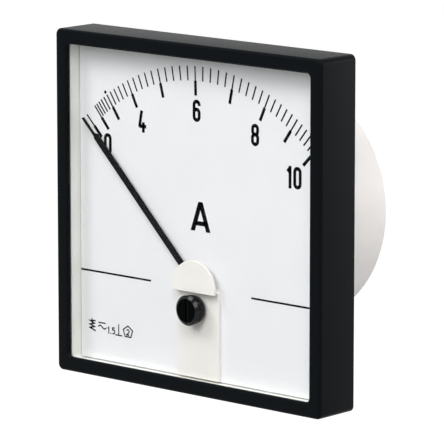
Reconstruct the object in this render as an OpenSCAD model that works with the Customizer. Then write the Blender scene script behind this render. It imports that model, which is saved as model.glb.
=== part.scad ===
/* [Bezel] */
// Side of the square front
bezel_w = 96; // [94:1:110]
// Depth of the bezel in front of the panel
bezel_d = 14; // [13.5:0.5:18]
// Corner radius of the bezel, seen from the front
bezel_corner_r = 1.4; // [0.8:0.1:3]
// Rounding of the front outer edge
bezel_edge_r = 0.5; // [0.3:0.1:0.8]
// Thickness of the bezel's side walls
bezel_wall = 1.7; // [1.4:0.1:2.2]
// Width of the frame round the window
frame_w = 4.1; // [3.8:0.1:6]
// Corner radius of the window opening
window_corner_r = 0.9; // [0.5:0.1:2]
// Thickness of the front lip
lip_t = 1.2; // [0.9:0.1:1.5]
// Chamfer on the lip's inner front edge
lip_chamfer = 0.45; // [0.2:0.05:0.7]

/* [Pane] */
// Thickness of the clear pane
pane_t = 1.5; // [1:0.1:1.8]

/* [Tray] */
// Wall of the white tray
tray_wall = 1.1; // [0.8:0.1:1.5]
// Floor of the white tray
tray_floor_t = 1.2; // [1:0.1:1.6]

/* [Dial] */
// Depth of the dial's face behind the bezel's front
dial_depth = 6.4; // [6:0.1:6.8]
// Thickness of the dial sheet
dial_t = 0.7; // [0.5:0.1:1]
// Height of the pivot below the middle of the dial
pivot_drop = 19.3; // [18.8:0.1:20]

/* [Pointer] */
// Room between the tip at zero and the tray's wall
tip_room = 2.7; // [2:0.1:6]
// Length of the thin blade at the tip
blade_len = 5.6; // [3:0.1:9]
// Width of the pointer bar
pointer_w = 2; // [1.2:0.1:2.6]
// Thickness of the pointer sheet
pointer_t = 0.3; // [0.25:0.05:0.5]
// Width of the blade, front to back
blade_w = 0.9; // [0.6:0.1:1.1]
// Thickness of the blade
blade_t = 0.3; // [0.2:0.05:0.5]
// Angle of the pointer at zero, left of upright
zero_angle = 45; // [40:1:47]

/* [Movement cover] */
// Width of the cover strip
strip_w = 14.9; // [13.6:0.1:18]
// Thickness of the cover strip
strip_t = 1.1; // [0.8:0.1:1.2]
// Radius of the raised cap
cap_r = 7.7; // [7:0.1:10]
// Thickness of the raised cap
cap_t = 0.9; // [0.7:0.1:1.1]
// Front of the cap in front of the dial
cap_rise = 3.2; // [2.9:0.05:3.3]

/* [Zero adjuster] */
// Height of the adjuster's axis below the pivot
adjuster_drop = 5.7; // [5.4:0.1:6.5]
// Radius of the adjuster's head
adjuster_r = 4.2; // [4.1:0.05:4.5]
// Rounding of the head's front edge
adjuster_edge_r = 0.5; // [0.3:0.05:0.6]
// Radius of the neck that turns in the pane
adjuster_neck_r = 3.85; // [3.6:0.05:3.9]
// Distance of the eccentric pin from the adjuster's axis
pin_throw = 1.5; // [1.2:0.1:1.7]
// Radius of the eccentric pin
pin_r = 0.6; // [0.4:0.05:0.7]

/* [Barrel] */
// Room behind the rear bridge for the terminals' heads
head_room = 4; // [3.8:0.1:20]
// Wall of the barrel
barrel_wall = 1.6; // [1.5:0.1:2.2]
// Thickness of the barrel's rear wall
rear_wall_t = 2.5; // [2:0.1:3]
// Thickness of the barrel's square flange
flange_t = 2.4; // [2.2:0.1:2.6]

/* [Coil] */
// Outer radius of the cup that the movement hangs in
cup_r = 12.2; // [11.6:0.1:14]
// Radius of the coil former's bore
bore_r = 5.9; // [5.6:0.1:6]
// Length of the coil former
coil_len = 13; // [12:0.5:16]
// Wall of the coil former
former_t = 1.1; // [0.8:0.1:1.3]

/* [Moving system] */
// Radius of the spindle
spindle_r = 0.4; // [0.3:0.05:0.5]
// Outer radius of the moving iron
vane_r = 4.6; // [3.6:0.1:4.8]
// Angle that the moving iron spans
vane_span = 46; // [30:1:60]
// Angle that the fixed iron spans
fixed_iron_span = 120; // [80:5:150]
// Radius of the damping chamber
chamber_r = 15; // [12:0.1:16]
// Radius of the balance weight on the tail
tail_weight_r = 2; // [1.2:0.05:2.1]

/* [Fastening] */
// Distance of the panel studs from the front's side
stud_inset = 12; // [11:0.5:14]
// Radius of the panel studs
stud_r = 2; // [1.5:0.5:2]
// Length of the panel studs behind the panel
stud_len = 10; // [6:1:20]
// Distance between the terminals
terminal_pitch = 28; // [24:1:32]
// Height of the terminals above the middle of the meter
terminal_z = 6; // [4:1:10]
// Radius of the terminal studs
terminal_r = 2.5; // [2:0.5:3]
// Length of the terminal studs behind the barrel
terminal_len = 15; // [13:1:20]

/* [Hidden] */
$fn = 64;
eps = 0.01;
cut = 1;
slot_w = 0.5;

// Clearances
slip = 0.2;          // between mouldings that slide into one another
running = 0.1;       // between the turning pieces and what carries them
pivot_play = 0.05;   // radial, rings that turn on a shoulder
hole_play = 0.1;     // radial, holes round screws and pegs

// Planes along Y: the front of the bezel is at -bezel_d and the panel is at 0
front_y = -bezel_d;
pane_y = front_y + lip_t;
tray_y = pane_y + pane_t;
dial_y = front_y + dial_depth;
dial_back_y = dial_y + dial_t;
floor_y = -flange_t - tray_floor_t;
cap_y = dial_y - cap_rise;
cap_back_y = cap_y + cap_t;
strip_y = dial_y - strip_t;
window_w = bezel_w - 2 * frame_w;
cavity_w = bezel_w - 2 * bezel_wall;
cavity_r = 0.6;
moulding_w = cavity_w - 2 * slip;
tray_inner_w = moulding_w - 2 * tray_wall;
dial_w = tray_inner_w - 0.6;
pivot_z = -pivot_drop;
adjuster_z = pivot_z - adjuster_drop;

// Lugs on the tray that hold the bezel
lug_at = 30;
lug_w = 8;
lug_h = 0.7;
lug_t = 2;
lug_y = floor_y - 3;
lug_play = 0.25;

// Corner screws and bosses
case_screw_at = moulding_w / 2 - 5;
case_screw_r = 1.45;
case_boss_r = 3.2;
case_head_r = 2.8;
case_head_t = 1.3;
case_screw_end = dial_back_y + 0.6;
stud_at = bezel_w / 2 - stud_inset;
stud_head_r = 4;
stud_head_t = 1.1;
stud_collar_r = stud_r + 0.4;
dial_screw_x = 4.2;
dial_screw_r = 0.8;
dial_screw_head_r = 1.5;
dial_screw_head_t = 0.55;
peg_r = 0.85;

// Movement: the carrier's cup hangs through the tray's floor into the barrel
barrel_inner_r = pivot_drop + cup_r + 0.3;
barrel_r = barrel_inner_r + barrel_wall;
cup_wall = 1;
cup_back_y = 1;
rim_t = 1;
rim_y = floor_y - rim_t;
rim_r = cup_r + 2;
dial_boss_r = 2;
dial_rib_at = 30;
dial_rib_len = 40;
dial_rib_t = 1;
dial_top_rib_z = 24;
dial_screw_z = pivot_z - rim_r - dial_boss_r - 0.5;
coil_flange_r = cup_r - 0.2;
arm_in = cup_r + 0.4;
arm_out = arm_in + 2.4;
arm_h = 6;
ear_x = arm_out + 2.3;
ear_r = 3.2;
bridge_screw_r = 1.25;
bridge_screw_head_r = 2.2;
bridge_screw_head_t = 1.1;
bridge_boss_r = 2.1;
bridge_boss_len = 7.6;
bridge_boss_back = floor_y + bridge_boss_len;
coil_y = cup_back_y;
coil_back_y = coil_y + coil_len;
winding_r = coil_flange_r - 0.6;
chamber_base_t = 0.8;
chamber_wall = 0.6;
chamber_depth = 7;
chamber_from = 25;
chamber_to = 155;
chamber_y = coil_back_y + chamber_base_t;
chamber_back_y = chamber_y + chamber_depth;
chamber_cover_t = 0.8;
chamber_mouth_r = 3.2;
rear_bridge_t = 0.8;
rear_bridge_y = chamber_back_y + chamber_cover_t + 2.4;
rear_bridge_h = 5;
rear_hub_r = 3.4;
barrel_rear_y = rear_bridge_y + head_room;
barrel_len = barrel_rear_y + rear_wall_t;
rear_screw_r = 1;
rear_screw_head_r = 1.9;
rear_screw_at = (arm_in + arm_out) / 2;
rear_screw_len = 6;

// Front bearing
bridge_t = 0.8;
bridge_y = dial_back_y + 0.2;
bridge_back_y = bridge_y + bridge_t;
bridge_up = 0.4;
bridge_down = 3;
bridge_hub_r = 2.4;
foot_y = rim_y - 0.8;
jewel_r = 1.25;
jewel_shoulder_r = 1.35;
jewel_head_t = 0.5;
lever_t = 0.4;
lever_y = bridge_back_y + 0.1;
lever_back_y = lever_y + lever_t;
jewel_back_y = lever_back_y + 0.3;
rear_jewel_y = rear_bridge_y - 2.2;
rear_jewel_back_y = rear_bridge_y + rear_bridge_t + 1.2;
pivot_hole_r = spindle_r + running;
pivot_hole_depth = 0.5;
end_play = 0.05;

// Moving system stations
pointer_angle = 90 + zero_angle;
pointer_r = (tray_inner_w / 2 - tip_room) / sin(zero_angle);
pointer_y = dial_y - 1.4;
bar_end_r = pointer_r - blade_len;
collet_y = jewel_back_y + 0.15;
collet_arm_t = 0.4;
collet_t = 0.9;
collet_neck_r = 1.1;
collet_r = 1.6;
crank_r = 4.4;
crank_t = 0.8;
spring_y = collet_y + collet_t + 0.1;
spring_w = 0.35;
spring_t = 0.15;
spring_hub_r = 1.2;
spring_turns = 5;
spring_angle = 200;
spring_post_at = 4.6;
spring_post_r = 0.35;
spring_in_r = spring_hub_r + pivot_play + spring_t / 2;
spring_pitch = (spring_post_at - spring_post_r + 0.04 - spring_in_r) / spring_turns;
balance_y = spring_y + spring_w + 0.4;
balance_t = 0.4;
balance_arm_w = 0.9;
side_weight_r = 0.9;
side_weight_at = 3.4;
side_weight_t = 1;
tail_weight_t = 2.6;
tail_weight_at = cup_r - cup_wall - tail_weight_r - 0.8;
vane_t = 0.5;
vane_end_room = 2;
vane_y = coil_y + vane_end_room;
vane_back_y = coil_back_y - vane_end_room;
vane_angle = pointer_angle + 180;
fixed_iron_t = 0.5;
fixed_iron_angle = vane_angle - 15;
paddle_t = 0.2;
paddle_r = chamber_r - 1;
paddle_y = chamber_y + 0.7;
paddle_back_y = chamber_back_y - 0.7;
opening_r = crank_r + 0.35;
opening_half_w = 4.7;
opening_room = 2.4;
opening_bottom = adjuster_z - pin_throw - pin_r - opening_room;
upper_peg_drop = 2;
lower_peg_rise = 2.7;
upper_peg_z = opening_bottom - upper_peg_drop;
lower_peg_z = -dial_w / 2 + lower_peg_rise;
cap_drop = 1.1;
cheek_in = 5.2;
cheek_out = 7;
strip_drop = 0.5;

// Zero adjuster stations
adjuster_y = front_y + 0.45;
adjuster_head_back_y = pane_y - running;
adjuster_flange_y = tray_y + running;
adjuster_flange_r = adjuster_neck_r + running + 0.1;
adjuster_back_y = front_y + 4;
pin_back_y = lever_back_y + 0.4;
fork_play = 0.1;

// Terminals
terminal_boss_r = 7;
terminal_boss_t = 1.5;
barrel_chamfer = 0.8;
barrier_t = 1.8;
barrier_h = 18;
barrier_rise = 3;
terminal_face_y = barrel_len + terminal_boss_t;
terminal_core_r = terminal_r - 0.2;
stud_hex_r = 4.6;
stud_hex_t = 2.4;
lug_ring_r = 5;
lug_ring_t = 0.8;
nut_r = 4.6;
nut_t = 3.5;
washer_r = 5;
washer_t = 1;
spring_washer_r = 4.4;
spring_washer_t = 1.2;
spring_washer_gap = 0.6;
nuts_back_y = terminal_face_y + 2 * nut_t + washer_t + spring_washer_t;
lead_r = 0.9;
lead_from_x = 4;
lead_y = coil_y + coil_len / 2;
lead_z = terminal_z - 7.5;

// A flat outline, drawn with X across and Z up, made solid from y0 to y1
module slab(y0, y1) {
    translate([0, y1, 0]) rotate([90, 0, 0]) linear_extrude(height = y1 - y0) children();
}

// A profile of radius and Y, turned about an axis along Y
module turned(x, z) { translate([x, 0, z]) rotate([-90, 0, 0]) rotate_extrude() children(); }

// A cylinder along Y
module rod(r, y0, y1, x = 0, z = 0) {
    translate([x, y0, z]) rotate([-90, 0, 0]) cylinder(r = r, h = y1 - y0);
}

// A cone along Y
module taper(r0, r1, y0, y1, x = 0, z = 0) {
    translate([x, y0, z]) rotate([-90, 0, 0]) cylinder(r1 = r0, r2 = r1, h = y1 - y0);
}

// A square outline with round corners
module round_square(w, r) {
    square([w - 2 * r, w], center = true);
    square([w, w - 2 * r], center = true);
    for (sx = [-1, 1], sy = [-1, 1]) translate([sx * (w / 2 - r), sy * (w / 2 - r)]) circle(r);
}

// A centred rectangle whose two front corners are rounded, with its front at y0 and its back at y1
module rounded_front(w, y0, y1, r) {
    translate([-w / 2, y0 + r]) square([w, y1 - y0 - r]);
    translate([-w / 2 + r, y0]) square([w - 2 * r, y1 - y0]);
    for (s = [-1, 1]) translate([s * (w / 2 - r), y0 + r]) circle(r);
}

// A wedge from angle a0 to angle a1, under 180 degrees, that reaches past radius r
module wedge(r, a0, a1) {
    m = (a0 + a1) / 2;
    f = 2 * r / cos((a1 - a0) / 4);
    polygon([[0, 0], [f * cos(a0), f * sin(a0)], [f * cos(m), f * sin(m)], [f * cos(a1), f * sin(a1)]]);
}

// A ring sector, or a full sector where r0 is 0
module sector(r0, r1, a0, a1) {
    intersection() {
        difference() {
            circle(r1);
            if (r0 > 0) circle(r0);
        }
        wedge(r1, a0, a1);
    }
}

// A bar from radius r0 to radius r1 at an angle
module spoke(r0, r1, w, a) { rotate(a) translate([r0, -w / 2]) square([r1 - r0, w]); }

// One copy in each corner of a square
module corners(at) { for (sx = [-1, 1], sz = [-1, 1]) translate([sx * at, 0, sz * at]) children(); }

// One copy on the left and one, mirrored, on the right
module both() {
    children();
    mirror([1, 0, 0]) children();
}

// Black moulded frame with a thin lip that stands in front of the pane
module bezel() {
    straight = window_w - 2 * window_corner_r;
    c = lip_chamfer;
    color([0.06, 0.06, 0.07]) difference() {
        intersection() {
            slab(front_y, 0) round_square(bezel_w, bezel_corner_r);
            translate([0, 0, -bezel_w / 2]) linear_extrude(height = bezel_w)
                rounded_front(bezel_w, front_y, 0, bezel_edge_r);
            translate([-bezel_w / 2, 0, 0]) rotate([90, 0, 90]) linear_extrude(height = bezel_w)
                rotate(90) mirror([0, 1]) rounded_front(bezel_w, front_y, 0, bezel_edge_r);
        }
        slab(front_y - 1, pane_y + 1) round_square(window_w, window_corner_r);
        slab(pane_y, 1) round_square(cavity_w, cavity_r);
        // chamfer round the window: one prism each way and a cone in each corner
        translate([0, 0, -straight / 2]) linear_extrude(height = straight) chamfer_section();
        rotate([0, 90, 0]) translate([0, 0, -straight / 2]) linear_extrude(height = straight)
            chamfer_section();
        corners(window_w / 2 - window_corner_r)
            taper(window_corner_r + c + eps, window_corner_r, front_y - eps, front_y + c);
        // pockets for the tray's lugs
        for (a = [0:90:270], s = [-1, 1]) rotate([0, a, 0])
            translate([cavity_w / 2 - 1, lug_y - lug_play, s * lug_at - lug_w / 2 - lug_play])
                cube([1 + lug_h - slip + lug_play, lug_t + 2 * lug_play, lug_w + 2 * lug_play]);
    }
}

// Section across the window that widens by the chamfer towards the front
module chamfer_section() {
    c = lip_chamfer;
    h = window_w / 2;
    polygon([[-h, front_y + c], [-h - c - eps, front_y - eps],
             [h + c + eps, front_y - eps], [h, front_y + c]]);
}

// Clear flat pane with the hole in which the adjuster turns
module window_pane() {
    color([0.85, 0.9, 0.9, 0.3]) difference() {
        slab(pane_y, tray_y) round_square(moulding_w, cavity_r);
        rod(adjuster_neck_r + running, pane_y - 1, tray_y + 1, 0, adjuster_z);
    }
}

// White moulded tray: wall, floor, seats for the dial and bosses for the movement
module dial_tray() {
    color([0.93, 0.93, 0.9]) difference() {
        union() {
            difference() {
                slab(tray_y, -flange_t) round_square(moulding_w, cavity_r);
                slab(tray_y - 1, floor_y) round_square(tray_inner_w, 1);
            }
            corners(case_screw_at) rod(case_boss_r, dial_back_y, floor_y + eps);
            both() rod(dial_boss_r, dial_back_y, floor_y + eps, dial_screw_x, dial_screw_z);
            both() rod(bridge_boss_r, floor_y, bridge_boss_back, ear_x, pivot_z);
            // ribs that carry the dial's middle
            for (s = [-1, 1])
                translate([s * dial_rib_at - dial_rib_t / 2, dial_back_y, -dial_rib_len / 2])
                    cube([dial_rib_t, floor_y - dial_back_y + eps, dial_rib_len]);
            translate([-dial_rib_len / 2, dial_back_y, dial_top_rib_z])
                cube([dial_rib_len, floor_y - dial_back_y + eps, dial_rib_t]);
            for (a = [0:90:270], s = [-1, 1]) rotate([0, a, 0])
                translate([moulding_w / 2 - eps, lug_y, s * lug_at - lug_w / 2])
                    cube([lug_h + eps, lug_t, lug_w]);
        }
        // the movement hangs through the floor
        slab(floor_y - 1, -flange_t + 1) translate([0, pivot_z]) {
            circle(cup_r + slip);
            square([2 * (arm_out + slip), arm_h + 2 * slip], center = true);
        }
        corners(case_screw_at) rod(case_screw_r, case_screw_end, 1);
        both() rod(bridge_screw_r, floor_y - 1, bridge_boss_back + 1, ear_x, pivot_z);
        both() rod(dial_screw_r, dial_back_y - 1, -flange_t + 1, dial_screw_x, dial_screw_z);
    }
}

// Flat metal sheet that carries the scale, open round the pivot and under the cover
module dial_plate() {
    color([0.92, 0.93, 0.93]) difference() {
        slab(dial_y, dial_back_y) round_square(dial_w, 0.8);
        slab(dial_y - 1, dial_back_y + 1) {
            translate([0, pivot_z]) circle(opening_r);
            translate([-opening_half_w, opening_bottom])
                square([2 * opening_half_w, pivot_z - opening_bottom]);
        }
        both() rod(dial_screw_r, dial_y - 1, dial_back_y + 1, dial_screw_x, dial_screw_z);
        for (z = [upper_peg_z, lower_peg_z]) rod(peg_r + hole_play, dial_y - 1, dial_back_y + 1, 0, z);
    }
}

// Cover over the movement: a strip on the dial and a half-round cap over the pivot
module movement_cover() {
    color([0.95, 0.93, 0.9]) difference() {
        union() {
            translate([-strip_w / 2, strip_y, -dial_w / 2 + 0.2])
                cube([strip_w, strip_t, dial_w / 2 - 0.2 + pivot_z - strip_drop]);
            slab(cap_y, cap_back_y) intersection() {
                translate([0, pivot_z]) circle(cap_r);
                translate([-cap_r, pivot_z - cap_drop]) square([2 * cap_r, cap_r + cap_drop + 1]);
            }
            both() translate([cheek_in, cap_y + cap_t / 2, pivot_z - 1])
                cube([cheek_out - cheek_in, dial_y - cap_y - cap_t / 2, 1.1]);
            for (z = [upper_peg_z, lower_peg_z])
                rod(peg_r, strip_y + strip_t / 2, dial_back_y + 0.4, 0, z);
        }
        rod(pin_throw + pin_r + 0.5, strip_y - 1, dial_y + 1, 0, adjuster_z);
        both()
            rod(dial_screw_head_r + hole_play, dial_y - dial_screw_head_t - 0.05, dial_y + 1,
                dial_screw_x, dial_screw_z);
    }
}

// Round adjuster that turns in the pane, with an eccentric pin at its back
module zero_adjuster() {
    head_t = adjuster_head_back_y - adjuster_y;
    color([0.05, 0.05, 0.06]) union() {
        turned(0, adjuster_z) {
            translate([0, adjuster_y]) square([adjuster_r - adjuster_edge_r, head_t]);
            translate([0, adjuster_y + adjuster_edge_r]) square([adjuster_r, head_t - adjuster_edge_r]);
            intersection() {
                translate([adjuster_r - adjuster_edge_r, adjuster_y + adjuster_edge_r])
                    circle(adjuster_edge_r);
                translate([0, adjuster_y]) square([adjuster_r, head_t]);
            }
            translate([0, adjuster_head_back_y - eps])
                square([adjuster_neck_r, adjuster_flange_y - adjuster_head_back_y + 2 * eps]);
            polygon([[0, adjuster_flange_y], [adjuster_flange_r, adjuster_flange_y],
                     [adjuster_neck_r, adjuster_back_y], [0, adjuster_back_y]]);
        }
        rod(pin_r, adjuster_back_y - eps, pin_back_y, 0, adjuster_z - pin_throw);
    }
}

// Black pointer: a flat bar with a thin blade at its tip, cranked back to its collet
module pointer() {
    color([0.05, 0.05, 0.06]) translate([0, 0, pivot_z]) difference() {
        union() {
            slab(pointer_y, pointer_y + pointer_t) rotate(pointer_angle)
                polygon([[crank_r - crank_t, -pointer_w / 2], [bar_end_r - 1, -pointer_w / 2],
                         [bar_end_r, -blade_t / 2], [bar_end_r, blade_t / 2],
                         [bar_end_r - 1, pointer_w / 2], [crank_r - crank_t, pointer_w / 2]]);
            slab(pointer_y + pointer_t - blade_w, pointer_y + pointer_t)
                spoke(bar_end_r - 0.7, pointer_r, blade_t, pointer_angle);
            slab(pointer_y, collet_y + collet_arm_t)
                spoke(crank_r - crank_t, crank_r, pointer_w, pointer_angle);
            slab(collet_y, collet_y + collet_arm_t) {
                spoke(0, crank_r, pointer_w, pointer_angle);
                circle(2.2);
            }
        }
        rod(collet_neck_r, collet_y - 1, collet_y + collet_arm_t + 1);
    }
}

// Collet that holds the pointer and the spring's inner end on the spindle
module pointer_collet() {
    color([0.8, 0.66, 0.35]) difference() {
        turned(0, pivot_z) {
            translate([0, collet_y]) square([collet_neck_r, collet_arm_t]);
            translate([0, collet_y + collet_arm_t]) square([collet_r, collet_t - collet_arm_t]);
            translate([0, collet_y + collet_t - eps]) square([spring_hub_r, spring_w + 0.2 + eps]);
        }
        rod(spindle_r, collet_y - 1, collet_y + collet_t + spring_w + 2, 0, pivot_z);
    }
}

// Steel spindle that runs in the two jewels
module spindle() {
    color([0.7, 0.7, 0.72])
        rod(spindle_r, jewel_back_y - pivot_hole_depth + end_play,
            rear_jewel_y + pivot_hole_depth - end_play, 0, pivot_z);
}

// Moving iron: a curved vane on two arms inside the coil
module moving_vane() {
    color([0.55, 0.56, 0.58]) translate([0, 0, pivot_z]) difference() {
        union() {
            slab(vane_y, vane_back_y)
                sector(vane_r - vane_t, vane_r, vane_angle - vane_span / 2, vane_angle + vane_span / 2);
            for (y = [vane_y, vane_back_y - vane_t]) slab(y, y + vane_t) {
                circle(1.3);
                sector(0, vane_r - vane_t / 2, vane_angle - 12, vane_angle + 12);
            }
        }
        rod(spindle_r, vane_y - 1, vane_back_y + 1);
    }
}

// Light paddle that swings in the damping chamber
module damping_vane() {
    color([0.8, 0.8, 0.82]) translate([0, 0, pivot_z]) difference() {
        union() {
            slab(paddle_y, paddle_back_y) spoke(chamber_mouth_r, paddle_r, paddle_t, pointer_angle);
            slab(paddle_y + 2, paddle_back_y - 2) {
                circle(1);
                spoke(0, chamber_mouth_r + 0.5, paddle_t, pointer_angle);
            }
        }
        rod(spindle_r, paddle_y - 1, paddle_back_y + 1);
    }
}

// Cross behind the collet: a tail opposite the pointer and two short side arms
module balance_cross() {
    color([0.75, 0.75, 0.77]) translate([0, 0, pivot_z]) difference() {
        slab(balance_y, balance_y + balance_t) {
            circle(1.3);
            spoke(0, tail_weight_at, balance_arm_w, pointer_angle + 180);
            for (s = [-1, 1])
                spoke(0, side_weight_at, balance_arm_w, pointer_angle + s * 90);
        }
        rod(spindle_r, balance_y - 1, balance_y + balance_t + 1);
    }
}

// Small weights behind the cross that set the moving system's balance
module balance_weights() {
    y = balance_y + balance_t;
    color([0.8, 0.66, 0.35]) translate([0, 0, pivot_z]) {
        rotate([0, -pointer_angle - 180, 0])
            rod(tail_weight_r, y, y + tail_weight_t, tail_weight_at, 0);
        for (s = [-1, 1]) rotate([0, -pointer_angle - s * 90, 0])
            rod(side_weight_r, y, y + side_weight_t, side_weight_at, 0);
    }
}

// Flat spiral made of half turns whose centres alternate, from the collet to the post on the lever
module hairspring() {
    color([0.75, 0.6, 0.3]) translate([0, 0, pivot_z]) slab(spring_y, spring_y + spring_w)
        rotate(spring_angle) {
        for (i = [0:spring_turns - 1]) {
            half_turn(spring_in_r + i * spring_pitch, 0, 1);
            half_turn(spring_in_r + (i + 0.5) * spring_pitch, spring_pitch / 2, -1);
        }
        difference() {
            circle(spring_in_r + spring_t / 2);
            circle(spring_in_r - spring_t / 2);
        }
    }
}

// Half a ring of the spring's band, above or below its centre line
module half_turn(r, x, side) {
    translate([x, 0]) intersection() {
        difference() {
            circle(r + spring_t / 2);
            circle(r - spring_t / 2);
        }
        translate([-2 * r, side > 0 ? 0 : -2 * r]) square([4 * r, 2 * r]);
    }
}

// Lever that turns on the front jewel: a fork for the adjuster's pin and the spring's post
module zero_lever() {
    reach = adjuster_drop + pin_throw;
    color([0.78, 0.78, 0.8]) translate([0, 0, pivot_z]) difference() {
        union() {
            slab(lever_y, lever_back_y) {
                circle(2.2);
                spoke(0, reach - 1.4, 1.6, 270);
                spoke(reach - 1.8, reach + 1.1, 2 * (pin_r + 1), 270);
                spoke(0, spring_post_at, 0.9, spring_angle);
                rotate(spring_angle) translate([spring_post_at, 0]) circle(0.45);
            }
            rotate([0, -spring_angle, 0])
                rod(spring_post_r, lever_y, spring_y + spring_w, spring_post_at, 0);
        }
        rod(jewel_shoulder_r + pivot_play, lever_y - 1, lever_back_y + 1);
        slab(lever_y - 1, lever_back_y + 1) spoke(reach - 0.4, reach + 3, 2 * (pin_r + fork_play), 270);
        slab(lever_y - 1, lever_back_y + 1) translate([0, -reach + 0.4]) circle(pin_r + fork_play);
    }
}

// Bridge across the front of the movement, with a foot on each ear of the carrier
module front_bridge() {
    leg = ear_x - ear_r;
    color([0.72, 0.72, 0.74]) difference() {
        union() {
            translate([-leg - 0.4, bridge_y, pivot_z - bridge_down])
                cube([2 * leg + 0.8, bridge_t, bridge_down + bridge_up]);
            rod(bridge_hub_r, bridge_y, bridge_back_y, 0, pivot_z);
            both() translate([leg - 0.4, bridge_y, pivot_z - bridge_down])
                cube([0.8, rim_y - bridge_y, bridge_down + bridge_up]);
            both() translate([leg - 0.4, foot_y, pivot_z - bridge_down])
                cube([ear_r + 0.4, rim_y - foot_y, 2 * bridge_down]);
            both() rod(bridge_down, foot_y, rim_y, ear_x, pivot_z);
        }
        rod(jewel_r, bridge_y - 1, bridge_back_y + 1, 0, pivot_z);
        both() rod(bridge_screw_r, foot_y - 1, rim_y + 1, ear_x, pivot_z);
    }
}

// Front jewel screw with the shoulder and lip on which the zero lever turns
module front_jewel_screw() {
    color([0.8, 0.66, 0.35]) difference() {
        turned(0, pivot_z) {
            translate([0, bridge_y - jewel_head_t]) square([jewel_r, bridge_t + jewel_head_t]);
            translate([0, bridge_back_y]) square([jewel_shoulder_r, jewel_back_y - bridge_back_y]);
            translate([0, lever_back_y + pivot_play])
                square([jewel_shoulder_r + 0.4, jewel_back_y - lever_back_y - pivot_play]);
        }
        translate([-2, bridge_y - jewel_head_t - 1, pivot_z - 0.2]) cube([4, 1.4, 0.4]);
        rod(pivot_hole_r, jewel_back_y - pivot_hole_depth, jewel_back_y + 1, 0, pivot_z);
    }
}

// Bridge that joins the carrier's two arms behind the damping box
module rear_bridge() {
    color([0.72, 0.72, 0.74]) difference() {
        union() {
            translate([-arm_out, rear_bridge_y, pivot_z - rear_bridge_h / 2])
                cube([2 * arm_out, rear_bridge_t, rear_bridge_h]);
            rod(rear_hub_r, rear_bridge_y, rear_bridge_y + rear_bridge_t, 0, pivot_z);
        }
        rod(jewel_r, rear_bridge_y - 1, rear_bridge_y + 2, 0, pivot_z);
        both() rod(rear_screw_r, rear_bridge_y - 1, rear_bridge_y + 2, rear_screw_at, pivot_z);
    }
}

// Rear jewel screw, with a slot at its back
module rear_jewel_screw() {
    color([0.8, 0.66, 0.35]) difference() {
        rod(jewel_r, rear_jewel_y, rear_jewel_back_y, 0, pivot_z);
        rod(pivot_hole_r, rear_jewel_y - 1, rear_jewel_y + pivot_hole_depth, 0, pivot_z);
        translate([-2, rear_jewel_back_y - 0.4, pivot_z - 0.2]) cube([4, 1.4, 0.4]);
    }
}

// A pan-head screw along Y with a slot; its head lies in front of y0
module pan_screw(r, head_r, head_t, y0, y1, x, z) {
    translate([x, 0, z]) difference() {
        union() {
            rod(r, y0 - eps, y1);
            taper(head_r - 0.3, head_r, y0 - head_t, y0 - head_t + 0.3);
            rod(head_r, y0 - head_t + 0.3, y0);
        }
        translate([-head_r - cut, y0 - head_t - cut, -slot_w / 2])
            cube([2 * (head_r + cut), cut + head_t / 2, slot_w]);
    }
}

// Screws through the front bridge's feet and the carrier's ears into the tray
module bridge_screws() {
    color([0.75, 0.75, 0.77]) both()
        pan_screw(bridge_screw_r, bridge_screw_head_r, bridge_screw_head_t, foot_y,
                  bridge_boss_back - 0.6, ear_x, pivot_z);
}

// Screws that hold the rear bridge on the carrier's arms
module rear_bridge_screws() {
    color([0.75, 0.75, 0.77]) mirror([0, 1, 0]) both()
        pan_screw(rear_screw_r, rear_screw_head_r, bridge_screw_head_t, -rear_bridge_y - rear_bridge_t,
                  -rear_bridge_y + rear_screw_len, rear_screw_at, pivot_z);
}

// Moulded carrier: rim with ears on the tray's floor, cup, and two arms beside the coil
module movement_carrier() {
    color([0.2, 0.2, 0.22]) difference() {
        union() {
            slab(rim_y, floor_y) translate([0, pivot_z]) {
                circle(rim_r);
                square([2 * ear_x, 2 * ear_r], center = true);
                for (s = [-1, 1]) translate([s * ear_x, 0]) circle(ear_r);
            }
            rod(cup_r, floor_y - eps, cup_back_y, 0, pivot_z);
            both() translate([arm_in, floor_y - eps, pivot_z - arm_h / 2])
                cube([arm_out - arm_in, rear_bridge_y - floor_y + eps, arm_h]);
            // webs that tie the arms to the cup
            both() translate([cup_r - cup_wall / 2, floor_y - eps, pivot_z - arm_h / 2])
                cube([arm_in - cup_r + cup_wall, cup_back_y - floor_y + eps, arm_h]);
        }
        rod(cup_r - cup_wall, rim_y - 1, cup_back_y - 1, 0, pivot_z);
        rod(2.2, rim_y - 1, cup_back_y + 1, 0, pivot_z);
        both() rod(bridge_screw_r, rim_y - 1, floor_y + 1, ear_x, pivot_z);
        both()
            rod(rear_screw_r, rear_bridge_y - rear_screw_len - 0.4, rear_bridge_y + 1,
                rear_screw_at, pivot_z);
    }
}

// Coil former with two flanges
module coil_bobbin() {
    color([0.85, 0.83, 0.76]) difference() {
        union() {
            rod(bore_r + former_t, coil_y, coil_back_y, 0, pivot_z);
            rod(coil_flange_r, coil_y, coil_y + former_t, 0, pivot_z);
            rod(coil_flange_r, coil_back_y - former_t, coil_back_y, 0, pivot_z);
        }
        rod(bore_r, coil_y - 1, coil_back_y + 1, 0, pivot_z);
    }
}

// Copper winding between the former's flanges
module coil_winding() {
    color([0.72, 0.4, 0.22]) difference() {
        rod(winding_r, coil_y + former_t, coil_back_y - former_t, 0, pivot_z);
        rod(bore_r + former_t, coil_y, coil_back_y, 0, pivot_z);
    }
}

// Fixed iron: a curved plate that lines part of the former's bore
module fixed_iron() {
    color([0.55, 0.56, 0.58]) translate([0, 0, pivot_z]) slab(vane_y - 0.5, vane_back_y + 0.5)
        sector(bore_r - fixed_iron_t, bore_r, fixed_iron_angle - fixed_iron_span / 2,
               fixed_iron_angle + fixed_iron_span / 2);
}

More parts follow.
